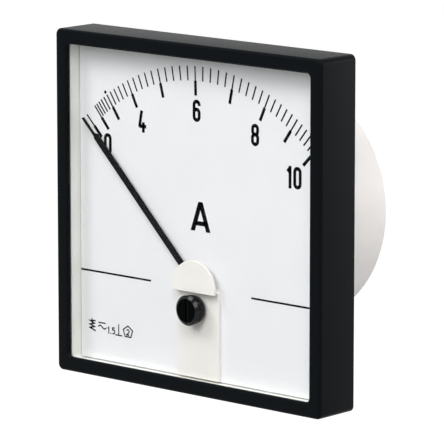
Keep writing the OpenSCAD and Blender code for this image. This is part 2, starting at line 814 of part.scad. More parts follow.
// Leads from the winding to the ring lugs under the terminals' inner heads
module coil_leads() {
    z0 = pivot_z + sqrt(winding_r * winding_r - lead_from_x * lead_from_x) - 0.02;
    x1 = terminal_pitch / 2;
    y2 = barrel_rear_y - lug_ring_t;
    color([0.8, 0.5, 0.3]) both() difference() {
        union() {
            translate([lead_from_x, lead_y, z0]) cylinder(r = lead_r, h = lead_z - z0);
            translate([lead_from_x, lead_y, lead_z]) sphere(lead_r);
            translate([lead_from_x, lead_y, lead_z]) rotate([0, 90, 0])
                cylinder(r = lead_r, h = x1 - lead_from_x);
            translate([x1, lead_y, lead_z]) sphere(lead_r);
            rod(lead_r, lead_y, y2 + lug_ring_t, x1, lead_z);
            slab(y2, barrel_rear_y) {
                translate([x1, terminal_z]) circle(lug_ring_r);
                translate([x1 - 2, lead_z]) square([4, terminal_z - lead_z]);
                translate([x1, lead_z]) circle(2);
            }
        }
        rod(terminal_core_r, y2 - 1, barrel_rear_y + 1, x1, terminal_z);
        rod(winding_r, coil_y, coil_back_y, 0, pivot_z);
    }
}

// Damping box on the coil former: base, curved wall and two end walls
module damping_chamber() {
    color([0.82, 0.82, 0.8]) translate([0, 0, pivot_z]) difference() {
        union() {
            slab(coil_back_y, chamber_y) {
                sector(0, chamber_r, chamber_from, chamber_to);
                circle(bore_r + former_t);
                square([2 * arm_in, arm_h - 1], center = true);
            }
            slab(chamber_y - eps, chamber_back_y) difference() {
                sector(chamber_mouth_r, chamber_r, chamber_from, chamber_to);
                sector(0, chamber_r - chamber_wall, chamber_from + 2.5, chamber_to - 2.5);
            }
        }
        rod(1.6, coil_back_y - 1, chamber_y + 1);
    }
}

// Lid of the damping box, open round the rear jewel
module damping_cover() {
    color([0.82, 0.82, 0.8]) translate([0, 0, pivot_z]) difference() {
        slab(chamber_back_y, chamber_back_y + chamber_cover_t) {
            sector(0, chamber_r, chamber_from, chamber_to);
            circle(chamber_mouth_r);
        }
        rod(1.8, chamber_back_y - 1, chamber_back_y + 2);
    }
}

// Screws that hold the dial on the tray, hidden by the cover's strip
module dial_screws() {
    color([0.75, 0.75, 0.77]) both()
        pan_screw(dial_screw_r, dial_screw_head_r, dial_screw_head_t, dial_y, floor_y + 0.2,
                  dial_screw_x, dial_screw_z);
}

// Screws from the back that join the barrel's flange and the tray
module case_screws() {
    color([0.75, 0.75, 0.77]) mirror([0, 1, 0]) corners(case_screw_at)
        pan_screw(case_screw_r, case_head_r, case_head_t - 0.1, case_head_t, -case_screw_end, 0, 0);
}

// Studs that hold the meter in the panel, their heads trapped between the flange and the tray
module panel_studs() {
    color([0.75, 0.75, 0.77]) corners(stud_at) union() {
        rod(stud_collar_r, -flange_t + stud_head_t - eps, -0.05);
        rod(stud_r, -0.05 - eps, stud_len - 0.6);
        taper(stud_r, stud_r - 0.6, stud_len - 0.6 - eps, stud_len);
        rod(stud_head_r, -flange_t, -flange_t + stud_head_t);
    }
}

// Round pot behind the panel with a square flange and a boss round each terminal
module rear_barrel() {
    color([0.9, 0.89, 0.86]) difference() {
        union() {
            slab(-flange_t, 0) round_square(moulding_w, cavity_r);
            rod(barrel_r, -flange_t, barrel_len - barrel_chamfer);
            taper(barrel_r, barrel_r - barrel_chamfer, barrel_len - barrel_chamfer - eps, barrel_len);
            both()
                rod(terminal_boss_r, barrel_len - 1, terminal_face_y, terminal_pitch / 2, terminal_z);
            // barrier between the terminals
            translate([-barrier_t / 2, barrel_len - 1, terminal_z - barrier_h / 2])
                cube([barrier_t, 1 + terminal_boss_t + barrier_rise, barrier_h]);
        }
        rod(barrel_inner_r, -flange_t - 1, barrel_rear_y);
        both()
            rod(terminal_core_r, barrel_rear_y - 1, terminal_face_y + 1, terminal_pitch / 2, terminal_z);
        corners(stud_at) {
            rod(stud_collar_r, -flange_t - 1, 1);
            rod(stud_head_r + slip, -flange_t - 1, -flange_t + stud_head_t);
        }
        corners(case_screw_at) {
            rod(case_screw_r, -flange_t - 1, 1);
            rod(case_head_r + slip, -case_head_t, 1);
        }
    }
}

// Threaded terminals with hexagonal inner heads
module terminal_studs() {
    y1 = barrel_rear_y - lug_ring_t;
    end_y = barrel_len + terminal_len;
    color([0.8, 0.66, 0.35]) both() translate([terminal_pitch / 2, 0, terminal_z]) {
        // the thread is drawn at its core where nuts hold it and at full size on the free end
        rod(terminal_core_r, y1 - eps, nuts_back_y);
        rod(terminal_r, nuts_back_y, end_y - 0.6);
        taper(terminal_r, terminal_r - 0.6, end_y - 0.6 - eps, end_y);
        translate([0, y1 - stud_hex_t, 0]) rotate([-90, 0, 0])
            cylinder(r = stud_hex_r, h = stud_hex_t, $fn = 6);
    }
}

// One hexagon nut on a terminal
module nut(y) {
    difference() {
        translate([0, y, 0]) rotate([-90, 0, 0]) cylinder(r = nut_r, h = nut_t, $fn = 6);
        rod(terminal_core_r, y - 1, y + nut_t + 1);
    }
}

// Two nuts on each terminal: one against the boss and one over the washers
module terminal_nuts() {
    color([0.8, 0.66, 0.35]) both() translate([terminal_pitch / 2, 0, terminal_z]) {
        nut(terminal_face_y);
        nut(terminal_face_y + nut_t + washer_t + spring_washer_t);
    }
}

// Flat washers between the nuts
module terminal_washers() {
    y = terminal_face_y + nut_t;
    color([0.8, 0.66, 0.35]) both() translate([terminal_pitch / 2, 0, terminal_z]) difference() {
        rod(washer_r, y, y + washer_t);
        rod(terminal_r + hole_play, y - 1, y + washer_t + 1);
    }
}

// Split spring washers under the outer nuts
module terminal_spring_washers() {
    y = terminal_face_y + nut_t + washer_t;
    color([0.7, 0.7, 0.72]) both() translate([terminal_pitch / 2, 0, terminal_z]) difference() {
        rod(spring_washer_r, y, y + spring_washer_t);
        rod(terminal_r + hole_play, y - 1, y + spring_washer_t + 1);
        rotate([0, 35, 0]) translate([0, y - cut, -spring_washer_gap / 2])
            cube([spring_washer_r + cut, spring_washer_t + 2 * cut, spring_washer_gap]);
    }
}

bezel();
window_pane();
dial_tray();
dial_plate();
movement_cover();
zero_adjuster();
pointer();
pointer_collet();
spindle();
moving_vane();
damping_vane();
balance_cross();
balance_weights();
hairspring();
zero_lever();
front_bridge();
front_jewel_screw();
rear_bridge();
rear_jewel_screw();
bridge_screws();
rear_bridge_screws();
movement_carrier();
coil_bobbin();
coil_winding();
fixed_iron();
coil_leads();
damping_chamber();
damping_cover();
dial_screws();
case_screws();
panel_studs();
rear_barrel();
terminal_studs();
terminal_nuts();
terminal_washers();
terminal_spring_washers();
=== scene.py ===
import math
import time

import bmesh
import bpy
import numpy as np
from mathutils import Matrix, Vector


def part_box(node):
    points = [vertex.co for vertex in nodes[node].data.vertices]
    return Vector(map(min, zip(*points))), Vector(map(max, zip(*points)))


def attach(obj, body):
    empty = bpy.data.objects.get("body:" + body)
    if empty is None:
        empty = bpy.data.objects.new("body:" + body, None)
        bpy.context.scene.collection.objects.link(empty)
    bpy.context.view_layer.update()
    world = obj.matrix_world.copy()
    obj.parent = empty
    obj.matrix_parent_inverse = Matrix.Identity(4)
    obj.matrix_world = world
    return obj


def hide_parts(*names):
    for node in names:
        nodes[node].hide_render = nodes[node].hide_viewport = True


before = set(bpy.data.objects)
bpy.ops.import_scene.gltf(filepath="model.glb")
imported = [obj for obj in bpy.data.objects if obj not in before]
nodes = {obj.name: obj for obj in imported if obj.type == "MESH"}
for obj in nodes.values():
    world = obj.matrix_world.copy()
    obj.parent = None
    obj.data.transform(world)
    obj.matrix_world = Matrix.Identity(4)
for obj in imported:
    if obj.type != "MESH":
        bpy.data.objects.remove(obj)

startTime = time.time()
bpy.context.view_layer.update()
mm = 0.001  # sizes are in millimetres unless a note says otherwise
onCase = "case"


def say(text):
    print(f"[{time.time() - startTime:5.1f} s] {text}")


def boxOf(node):
    # lowest and highest corner of a CAD node, in mm
    low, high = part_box(node)
    return [round(c / mm, 3) for c in low], [round(c / mm, 3) for c in high]


# finishes

# every finish's noise: where the colour ramp starts and ends, how fine each noise is, and how many
# times wider the gloss pattern is than the grain
pattern = {"low": 0.3, "high": 0.7, "patchDetail": 3, "glossDetail": 2, "glossWider": 4, "grainDetail": 3}


def newMaterial(name, keepShader=True):
    # a material with its node tree, without the ready-made shader where other nodes stand for it
    material = bpy.data.materials.new(name)
    material.use_nodes = True
    tree = material.node_tree
    if not keepShader:
        tree.nodes.remove(tree.nodes["Principled BSDF"])
    return material, tree, tree.links.new


def noise(tree, where, size, detail):
    # a noise with features about `size` mm wide
    node = tree.nodes.new("ShaderNodeTexNoise")
    node.inputs["Scale"].default_value = 1 / (size * mm)
    node.inputs["Detail"].default_value = detail
    tree.links.new(where, node.inputs["Vector"])
    return node.outputs["Fac"]


def surface(name, color, rough, grain=0, grainSize=0.25, patch=12, tone=0.04, roughSpread=0.05,
            metallic=0, specular=0.5, streak=None):
    # colour = color * (1 - tone to 1 + tone) over patches of `patch` mm, roughness = rough - spread to
    # rough + spread over finer ones, and the grain is a bump of `grain` mm; streak stretches the three
    # along an axis, as brushing or turning does
    material, tree, link = newMaterial(name)
    shader = tree.nodes["Principled BSDF"]
    shader.inputs["Metallic"].default_value = metallic
    shader.inputs["Specular IOR Level"].default_value = specular
    where = tree.nodes.new("ShaderNodeTexCoord").outputs["Object"]
    if streak:
        stretch = tree.nodes.new("ShaderNodeMapping")
        stretch.inputs["Scale"].default_value = streak
        link(where, stretch.inputs["Vector"])
        where = stretch.outputs["Vector"]

    ramp = tree.nodes.new("ShaderNodeValToRGB")
    ramp.color_ramp.elements[0].position = pattern["low"]
    ramp.color_ramp.elements[1].position = pattern["high"]
    for element, sign in zip(ramp.color_ramp.elements, (-1, 1)):
        element.color = [min(1, c * (1 + sign * tone)) for c in color] + [1]
    link(noise(tree, where, patch, pattern["patchDetail"]), ramp.inputs["Fac"])
    link(ramp.outputs["Color"], shader.inputs["Base Color"])

    gloss = tree.nodes.new("ShaderNodeMapRange")
    gloss.inputs["To Min"].default_value = rough - roughSpread
    gloss.inputs["To Max"].default_value = rough + roughSpread
    link(noise(tree, where, grainSize * pattern["glossWider"], pattern["glossDetail"]),
         gloss.inputs["Value"])
    link(gloss.outputs["Result"], shader.inputs["Roughness"])

    if grain:
        bump = tree.nodes.new("ShaderNodeBump")
        bump.inputs["Distance"].default_value = grain * mm
        link(noise(tree, where, grainSize, pattern["grainDetail"]), bump.inputs["Height"])
        link(bump.outputs["Normal"], shader.inputs["Normal"])
    return material


# clear pane: its tint, its mirror's share straight on and at grazing, and the mirror's roughness
pane = {"tint": (0.992, 0.996, 0.994), "straight": 0.0015, "grazing": 0.5, "power": 5, "rough": 0.03}


def paneSurface(name, pane):
    # what is behind the sheet, and a mirror over it whose share grows as (1 - cosine) ^ power
    material, tree, link = newMaterial(name, keepShader=False)
    through = tree.nodes.new("ShaderNodeBsdfTransparent")
    through.inputs["Color"].default_value = (*pane["tint"], 1)
    mirror = tree.nodes.new("ShaderNodeBsdfGlossy")
    mirror.inputs["Roughness"].default_value = pane["rough"]
    weight = tree.nodes.new("ShaderNodeLayerWeight")
    slope = tree.nodes.new("ShaderNodeMath")
    slope.operation = "POWER"
    slope.inputs[1].default_value = pane["power"]
    link(weight.outputs["Facing"], slope.inputs[0])
    share = tree.nodes.new("ShaderNodeMapRange")
    share.inputs["To Min"].default_value = pane["straight"]
    share.inputs["To Max"].default_value = pane["grazing"]
    link(slope.outputs["Value"], share.inputs["Value"])
    mix = tree.nodes.new("ShaderNodeMixShader")
    link(share.outputs["Result"], mix.inputs["Fac"])
    link(through.outputs["BSDF"], mix.inputs[1])
    link(mirror.outputs["BSDF"], mix.inputs[2])
    link(mix.outputs["Shader"], tree.nodes["Material Output"].inputs["Surface"])
    return material


# moulded plastics, paints and the pane: colour, roughness, then grain, gloss and drift of tone
finishes = {
    "bezel_black": surface("moulded black", (0.0026, 0.0038, 0.0048), 0.38,
                           grain=0.006, grainSize=0.22, specular=0.035),
    "tray_white": surface("tray white", (0.86, 0.865, 0.82), 0.5, grain=0.004, specular=0.35),
    "dial_white": surface("dial paint", (0.845, 0.845, 0.865), 0.62,
                          grain=0.002, grainSize=0.3, tone=0.012, specular=0.25),
    "cover_white": surface("cover white", (0.875, 0.846, 0.812), 0.42, grain=0.003, specular=0.4),
    "knob_black": surface("knob black", (0.0010, 0.0013, 0.0018), 0.12,
                          grain=0.001, specular=0.2, roughSpread=0.02),
    "knob_face": surface("knob face", (0.0016, 0.0019, 0.002), 0.6, grain=0.004, specular=0.01),
    "pointer_black": surface("pointer black", (0.006, 0.0065, 0.007), 0.5, grain=0.003, specular=0.05),
    "barrel_white": surface("barrel white", (0.87, 0.85, 0.83), 0.42,
                            grain=0.004, grainSize=0.3, specular=0.4),
    "carrier_grey": surface("carrier grey", (0.33, 0.335, 0.34), 0.5, grain=0.004),
    "former_plastic": surface("former plastic", (0.62, 0.56, 0.42), 0.45, grain=0.003),
    "damping_plastic": surface("damping plastic", (0.56, 0.57, 0.56), 0.35, grain=0.002),
    "print_black": surface("print black", (0.002, 0.002, 0.0024), 0.6, grain=0.002, specular=0.02),
    "clear_pane": paneSurface("clear pane", pane),
}
# metals: some are brushed or wound along an axis
finishes.update({
    "copper_wire": surface("copper wire", (0.62, 0.24, 0.11), 0.32,
                           grain=0.012, grainSize=0.5, metallic=1, streak=(1, 4, 1)),
    "soft_iron": surface("soft iron", (0.30, 0.29, 0.275), 0.42,
                         grain=0.003, metallic=1, streak=(1, 8, 1)),
    "steel_zinc": surface("zinc plated steel", (0.40, 0.41, 0.425), 0.36,
                          grain=0.003, grainSize=0.4, metallic=1, tone=0.09),
    "brass_part": surface("brass", (0.60, 0.43, 0.17), 0.32, grain=0.002, metallic=1, tone=0.07),
    "light_alloy": surface("light alloy", (0.70, 0.71, 0.72), 0.4,
                           grain=0.003, metallic=1, streak=(6, 1, 1)),
    "spring_bronze": surface("spring bronze", (0.72, 0.46, 0.24), 0.28, metallic=1, tone=0.06),
})
for node in nodes.values():
    for held in node.material_slots:
        held.material = finishes[held.material.name.split(".")[0]]
say("finishes")


# mesh tools: a part is (points, faces), its points in mm

weld = {"drawn": 2e-7, "sliver": 1e-7, "cad": 1e-6, "flat": 0.5}  # metres, and degrees for flat


def gridFaces(rows, columns, closeRows=False, closeColumns=False):
    # one quad for each cell of a grid of points, the last row or column joined to the first if closed
    i, j = np.meshgrid(np.arange(rows if closeRows else rows - 1),
                       np.arange(columns if closeColumns else columns - 1), indexing="ij")
    iNext, jNext = (i + 1) % rows, (j + 1) % columns
    quads = [i * columns + j, iNext * columns + j, iNext * columns + jNext, i * columns + jNext]
    return np.stack(quads, -1).reshape(-1, 4).tolist()


def joined(*parts):
    # one part from several
    points, faces, start = [], [], 0
    for partPoints, partFaces in parts:
        points.append(np.asarray(partPoints, float).reshape(-1, 3))
        faces += [[corner + start for corner in face] for face in partFaces]
        start += len(points[-1])
    return np.concatenate(points), faces


def dressed(name, mesh, body, slot, stands, angle, bevel, segments, finish=None):
    # puts a mesh in the scene: smooth up to `angle` degrees, its edges bevelled by `bevel` mm
    mesh.polygons.foreach_set("use_smooth", [True] * len(mesh.polygons))
    mesh.set_sharp_from_angle(angle=math.radians(angle))
    mesh.materials.clear()
    mesh.materials.append(finishes[finish or slot])
    thing = bpy.data.objects.new(name, mesh)
    bpy.context.scene.collection.objects.link(thing)
    if bevel:
        edge = thing.modifiers.new("edge", "BEVEL")
        edge.width = bevel * mm
        edge.segments = segments
        edge.limit_method = "ANGLE"
        edge.angle_limit = math.radians(angle)
        edge.harden_normals = True
    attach(thing, body)
    if stands:
        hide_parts(*stands)


def piece(name, part, body, slot, stands=(), angle=32, bevel=0, segments=2, finish=None):
    # a new piece from a part, with its doubles merged and its faces pointing outwards
    points, faces = part
    mesh = bpy.data.meshes.new(name)
    mesh.from_pydata((np.asarray(points) * mm).tolist(), [], faces)
    edit = bmesh.new()
    edit.from_mesh(mesh)
    bmesh.ops.remove_doubles(edit, verts=edit.verts, dist=weld["drawn"])
    bmesh.ops.dissolve_degenerate(edit, edges=edit.edges, dist=weld["sliver"])
    bmesh.ops.recalc_face_normals(edit, faces=edit.faces)
    edit.to_mesh(mesh)
    edit.free()
    dressed(name, mesh, body, slot, stands, angle, bevel, segments, finish)


def softened(name, node, body, slot, bevel, angle=35, segments=2):
    # a copy of a CAD node with its doubles merged, its flat faces joined and its edges rounded
    merged = nodes[node].data.copy()
    edit = bmesh.new()
    edit.from_mesh(merged)
    bmesh.ops.remove_doubles(edit, verts=edit.verts, dist=weld["cad"])
    bmesh.ops.dissolve_limit(edit, angle_limit=math.radians(weld["flat"]),
                             verts=edit.verts, edges=edit.edges)
    edit.to_mesh(merged)
    edit.free()
    places = np.empty(len(merged.vertices) * 3)
    merged.vertices.foreach_get("co", places)
    mesh = bpy.data.meshes.new(name)
    mesh.from_pydata(places.reshape(-1, 3).tolist(), [], [list(p.vertices) for p in merged.polygons])
    bpy.data.meshes.remove(merged)
    dressed(name, mesh, body, slot, (node,), angle, bevel, segments)


def rounded(points, radii, steps=5, closed=False):
    # each corner of a path becomes an arc of its radius, tangent to both its sides; radius 0 keeps it:
    # centre = corner + (unit side + unit side) / length * radius / sin(half the corner's angle)
    points = np.asarray(points, float)
    count = len(points)
    radii = np.broadcast_to(radii, count)
    share = np.linspace(0, 1, steps + 1)[:, None]
    path = []
    for here in range(count):
        corner, radius = points[here], radii[here]
        if radius <= 0 or (not closed and here in (0, count - 1)):
            path.append(corner[None])
            continue
        before, after = points[here - 1] - corner, points[(here + 1) % count] - corner
        before, after = before / np.linalg.norm(before), after / np.linalg.norm(after)
        half = math.acos(np.clip(before @ after, -1, 1)) / 2
        between = before + after
        centre = corner + between / np.linalg.norm(between) * radius / math.sin(half)
        reach = radius / math.tan(half)
        spoke = (corner + before * reach - centre) * (1 - share) + (corner + after * reach - centre) * share
        path.append(centre + spoke / np.linalg.norm(spoke, axis=1)[:, None] * radius)
    return np.concatenate(path)


def eased(rows, steps=5, closed=False):
    # rounded, from rows of (across, along, corner radius)
    rows = np.asarray(rows, float)
    return rounded(rows[:, :2], rows[:, 2], steps, closed)


def turned(profile, x, z, steps, closed=False):
    # a profile of (radius, y) turned round the line along Y through (x, z):
    # point = (x + radius * cos turn, y, z + radius * sin turn)
    profile = np.asarray(profile, float)
    turn = np.linspace(0, 2 * np.pi, steps, endpoint=False)
    radius, y = profile[:, 0, None], profile[:, 1, None] + 0 * turn
    points = np.stack([x + radius * np.cos(turn), y, z + radius * np.sin(turn)], -1)
    return points.reshape(-1, 3), gridFaces(len(profile), steps, closed, True)


def squareSweep(profile, steps, leastCorner=0.02):
    # a closed profile of (half width, y, corner radius) carried round a square with round corners:
    # point = corner's centre + corner radius * (cos turn, sin turn), one quarter turn to each corner
    half, y, corner = (column[:, None] for column in np.asarray(profile, float).T)
    corner = np.maximum(corner, leastCorner)
    quarter = np.repeat(np.arange(4), steps)
    turn = np.tile(np.linspace(0, np.pi / 2, steps), 4) + quarter * np.pi / 2
    sideX, sideZ = np.array([1, -1, -1, 1])[quarter], np.array([1, 1, -1, -1])[quarter]
    points = np.stack([sideX * (half - corner) + corner * np.cos(turn), y + 0 * turn,
                       sideZ * (half - corner) + corner * np.sin(turn)], -1)
    return points.reshape(-1, 3), gridFaces(len(half), 4 * steps, True, True)


def ribbon(path, width, y0, y1, closed=False):
    # a stroke along a path of (x, z), as a thin closed strip between y0 and y1: at each point its sides
    # stand off by width / 2 * (normal before + normal after) / (1 + dot product of the two steps), which
    # keeps its width round a bend
    path = np.asarray(path, float)
    step = np.roll(path, -1, 0) - path
    if not closed:
        step[-1] = step[-2]
    step /= np.linalg.norm(step, axis=1)[:, None]
    before = np.roll(step, 1, 0)
    if not closed:
        before[0] = step[0]
    both = step + before
    normal = np.stack([-both[:, 1], both[:, 0]], -1) / (1 + (step * before).sum(1))[:, None]
    left, right = path + normal * width / 2, path - normal * width / 2
    corners = [(left, y0), (left, y1), (right, y1), (right, y0)]
    points = np.stack([np.stack([p[:, 0], 0 * p[:, 0] + y, p[:, 1]], -1) for p, y in corners], 1)
    faces = gridFaces(len(path), 4, closed, True)
    if not closed:
        last = 4 * (len(path) - 1)
        faces += [[3, 2, 1, 0], [last, last + 1, last + 2, last + 3]]
    return points.reshape(-1, 3), faces


def slab(outline, y0, y1):
    # a flat plate: each (x, z) point of its outline at y0 and again at y1
    outline = np.asarray(outline, float)
    count = len(outline)
    points = np.concatenate([np.insert(outline, 1, y, axis=1) for y in (y0, y1)])
    return points, gridFaces(2, count, False, True) + [list(range(count)), list(range(count, 2 * count))]


def arc(x, z, radiusX, radiusZ, start, end, steps=14):
    # (x + radiusX * cos turn, z + radiusZ * sin turn) from start to end, in degrees
    turn = np.radians(np.linspace(start, end, steps + 1))
    return np.stack([x + radiusX * np.cos(turn), z + radiusZ * np.sin(turn)], -1)


def circle(x, z, radius, count):
    # the outline of a round dot, its last point one step short of its first
    return arc(x, z, radius, radius, 0, 360 - 360 / count, count - 1)


# camera: yaw is from the front towards +X and pitch is up, in degrees; focal and frame share a unit,
# sensor is the frame's width in mm, and near and far are in metres

cameraAt = {"yaw": 41.686, "pitch": 10.251, "distance": 1079.06, "right": -10.068, "up": 0.5,
            "aim": (0, -14, 0), "focal": 4006.61, "frame": 444, "sensor": 36, "near": 0.05, "far": 20}


def placed(thing, right, up, back, at):
    # turns an object's axes to right, up and back, and stands it at a place in metres
    turn = np.stack([right, up, back], 1)
    thing.matrix_world = Matrix([[*row, place] for row, place in zip(turn, at)] + [[0, 0, 0, 1]])


yaw, pitch = math.radians(cameraAt["yaw"]), math.radians(cameraAt["pitch"])
back = np.array([math.sin(yaw) * math.cos(pitch), -math.cos(yaw) * math.cos(pitch), math.sin(pitch)])
right = np.array([math.cos(yaw), math.sin(yaw), 0])
up = np.cross(back, right)
stand = (np.array(cameraAt["aim"]) + back * cameraAt["distance"]
         - right * cameraAt["right"] - up * cameraAt["up"]) * mm
cameraData = bpy.data.cameras.new("camera")
cameraData.sensor_width = cameraAt["sensor"]
cameraData.lens = cameraAt["focal"] * cameraAt["sensor"] / cameraAt["frame"]
cameraData.clip_start = cameraAt["near"]
cameraData.clip_end = cameraAt["far"]
camera = bpy.data.objects.new("camera", cameraData)
bpy.context.scene.collection.objects.link(camera)
bpy.context.scene.camera = camera
placed(camera, right, up, back, stand)

# each lamp: where it stands (m), how wide it is (m) and the brightness it gives a white wall that faces
# it: power = brightness * pi ^ 2 * distance ^ 2; all are turned to the meter
lamps = {
    "keyRight": {"at": (0.9, -1.1, 1.4), "size": 0.9, "gives": 0.41, "tint": (1, 1, 1)},
    "keyLeft": {"at": (-0.62, -1.25, 1.35), "size": 0.9, "gives": 0.4, "tint": (1, 1, 1)},
    "front": {"at": (0.6, -1.7, 0.8), "size": 0.9, "gives": 0.34, "tint": (1, 1, 1)},
    "side": {"at": (1.8, 0.2, 0.9), "size": 1.2, "gives": 0.3, "tint": (1, 0.985, 0.98)},
    "back": {"at": (1.1, 1.6, 0.25), "size": 1.0, "gives": 0.27, "tint": (1, 0.98, 0.975)},
}
for name, lamp in lamps.items():
    data = bpy.data.lights.new(name, "AREA")
    data.shape = "DISK"
    data.size = lamp["size"]
    data.color = lamp["tint"]
    data.energy = lamp["gives"] * math.pi ** 2 * float(np.dot(lamp["at"], lamp["at"]))
    thing = bpy.data.objects.new(name, data)
    bpy.context.scene.collection.objects.link(thing)
    away = np.array(lamp["at"]) / np.linalg.norm(lamp["at"])
    across = np.cross((0, 0, 1), away)
    across /= np.linalg.norm(across)
    placed(thing, across, np.cross(away, across), away, lamp["at"])

# world light, and a round floor: its drop and radius (m), its colour and how white it shows
studio = {"light": (0.25, 0.25, 0.252), "floorDrop": 0.3, "floorRadius": 6, "floorSides": 96,
          "floorColor": 0.3, "floorGlow": 0.9}


def seenShare(tree):
    # 1 for rays that show the background: from the camera, a mirror or glass
    rays = tree.nodes.new("ShaderNodeLightPath").outputs
    total = rays["Is Camera Ray"]
    for other in ("Is Glossy Ray", "Is Transmission Ray"):
        adder = tree.nodes.new("ShaderNodeMath")
        adder.operation = "ADD"
        adder.use_clamp = True
        tree.links.new(total, adder.inputs[0])
        tree.links.new(rays[other], adder.inputs[1])
        total = adder.outputs["Value"]
    return total


world = bpy.data.worlds.new("studio")
bpy.context.scene.world = world
world.use_nodes = True
tree = world.node_tree
mixed = tree.nodes.new("ShaderNodeMix")
mixed.data_type = "RGBA"
mixed.inputs["A"].default_value = (*studio["light"], 1)
mixed.inputs["B"].default_value = (1, 1, 1, 1)
tree.links.new(seenShare(tree), mixed.inputs["Factor"])
tree.links.new(mixed.outputs["Result"], tree.nodes["Background"].inputs["Color"])

floorMaterial, tree, link = newMaterial("floor", keepShader=False)
matt = tree.nodes.new("ShaderNodeBsdfDiffuse")
matt.inputs["Color"].default_value = [studio["floorColor"]] * 3 + [1]
glow = tree.nodes.new("ShaderNodeEmission")
level = tree.nodes.new("ShaderNodeMath")
level.operation = "MULTIPLY"
level.inputs[1].default_value = studio["floorGlow"]
link(seenShare(tree), level.inputs[0])
link(level.outputs["Value"], glow.inputs["Strength"])
both = tree.nodes.new("ShaderNodeAddShader")
link(matt.outputs["BSDF"], both.inputs[0])
link(glow.outputs["Emission"], both.inputs[1])
link(both.outputs["Shader"], tree.nodes["Material Output"].inputs["Surface"])

turn = np.linspace(0, 2 * np.pi, studio["floorSides"], endpoint=False)
rim = studio["floorRadius"] * np.stack([np.cos(turn), np.sin(turn)], -1)
floorMesh = bpy.data.meshes.new("floor")
floorMesh.from_pydata(np.column_stack([rim, 0 * turn - studio["floorDrop"]]).tolist(), [],
                      [list(range(studio["floorSides"]))])
floorMesh.materials.append(floorMaterial)
floor = bpy.data.objects.new("floor", floorMesh)
bpy.context.scene.collection.objects.link(floor)
bpy.context.scene.view_settings.view_transform = "Standard"
say("camera, lamps and floor")


# bezel: one section carried round the square; half, window and cavity are distances from the middle,
# front and lipBack are heights along Y, and the edges are the radii of the section's corners

bezel = {"half": 48, "front": -14, "corner": 1.6, "edge": 0.85, "cornerEase": 0.6, "rearEdge": 0.2,
         "window": 43.9, "windowCorner": 1.3, "chamfer": 0.45, "chamferEdge": 0.12,
         "lipBack": -12.8, "lipEdge": 0.08, "cavity": 46.3, "edgeSteps": 6, "cornerSteps": 10, "smooth": 40}
section = eased([(bezel["half"], 0, bezel["rearEdge"]),
                 (bezel["half"], bezel["front"], bezel["edge"]),
                 (bezel["window"] + bezel["chamfer"], bezel["front"], bezel["chamferEdge"]),
                 (bezel["window"], bezel["front"] + bezel["chamfer"], bezel["chamferEdge"]),
                 (bezel["window"], bezel["lipBack"], bezel["lipEdge"]),
                 (bezel["cavity"], bezel["lipBack"], 0),
                 (bezel["cavity"], 0, bezel["rearEdge"])], bezel["edgeSteps"], closed=True)
# the corner's radius at each distance from the middle, from the window's to the outline's
cornerAt = np.interp(section[:, 0],
                     [bezel["window"], bezel["window"] + bezel["chamfer"],
                      bezel["half"] - bezel["edge"], bezel["half"]],
                     [bezel["windowCorner"], bezel["windowCorner"] + bezel["chamfer"],
                      bezel["corner"] - bezel["edge"] * bezel["cornerEase"], bezel["corner"]])
piece("bezelFrame", squareSweep(np.column_stack([section, cornerAt]), bezel["cornerSteps"]),
      onCase, "bezel_black", ("bezel",), angle=bezel["smooth"])
say("bezel")


# dial print: thin strips on the plate, standing a little proud of it and sunk into it

ink = {"stands": 0.03, "sinks": 0.1}
dialFace = boxOf("dial_plate")[0][1]
printed = {"y0": dialFace - ink["stands"], "y1": dialFace + ink["sinks"]}

# the scale turns about (x, z); marks reach from inner or change to outer; zero is an angle in degrees
# and law the factors of a curve through the angles of the other values, from first to last
scale = {"x": 0, "z": -18.92, "outer": 60, "change": 56, "inner": 52, "thin": 0.46, "thick": 0.94,
         "first": 2, "last": 10, "step": 0.2, "zero": 134.65,
         "law": (-0.0041, 0.11726, -1.08608, 2.93463, -6.30915, 138.57634)}
dot = {"x": -35.15, "z": 30.7, "r": 0.46, "sides": 16}


def valueAngle(value):
    # degrees from +X: zero has its own angle and the rest follow the curve, crowded at its start and
    # then nearly even, as a vane in a coil turns
    return scale["zero"] if value == 0 else float(np.polyval(scale["law"], value))


def mark(value, inner, outer, width):
    # a straight stroke between two radii at a value's angle
    turn = math.radians(valueAngle(value))
    ends = [(scale["x"] + r * math.cos(turn), scale["z"] + r * math.sin(turn)) for r in (inner, outer)]
    return ribbon(ends, width, **printed)


marks = []
values = np.round(np.arange(scale["first"], scale["last"] + scale["step"] / 2, scale["step"]), 1)
for value in [0, *values]:
    marks.append(mark(value, scale["change"], scale["outer"], scale["thin"]))
    if value == round(value):
        marks.append(mark(value, scale["inner"], scale["change"], scale["thick"]))
marks.append(slab(circle(dot["x"], dot["z"], dot["r"], dot["sides"]), **printed))
piece("scaleMarks", joined(*marks), onCase, "print_black")

# numerals: size and stroke, then the lower left corner of each
figure = {"w": 1.88, "h": 5.05, "stroke": 1.0,
          "places": (("0", -35.75, 13.3), ("4", -22.84, 20.9), ("6", -2.81, 25.9), ("8", 18.15, 21.5),
                     ("1", 30.5, 11.5), ("0", 33.05, 11.5))}
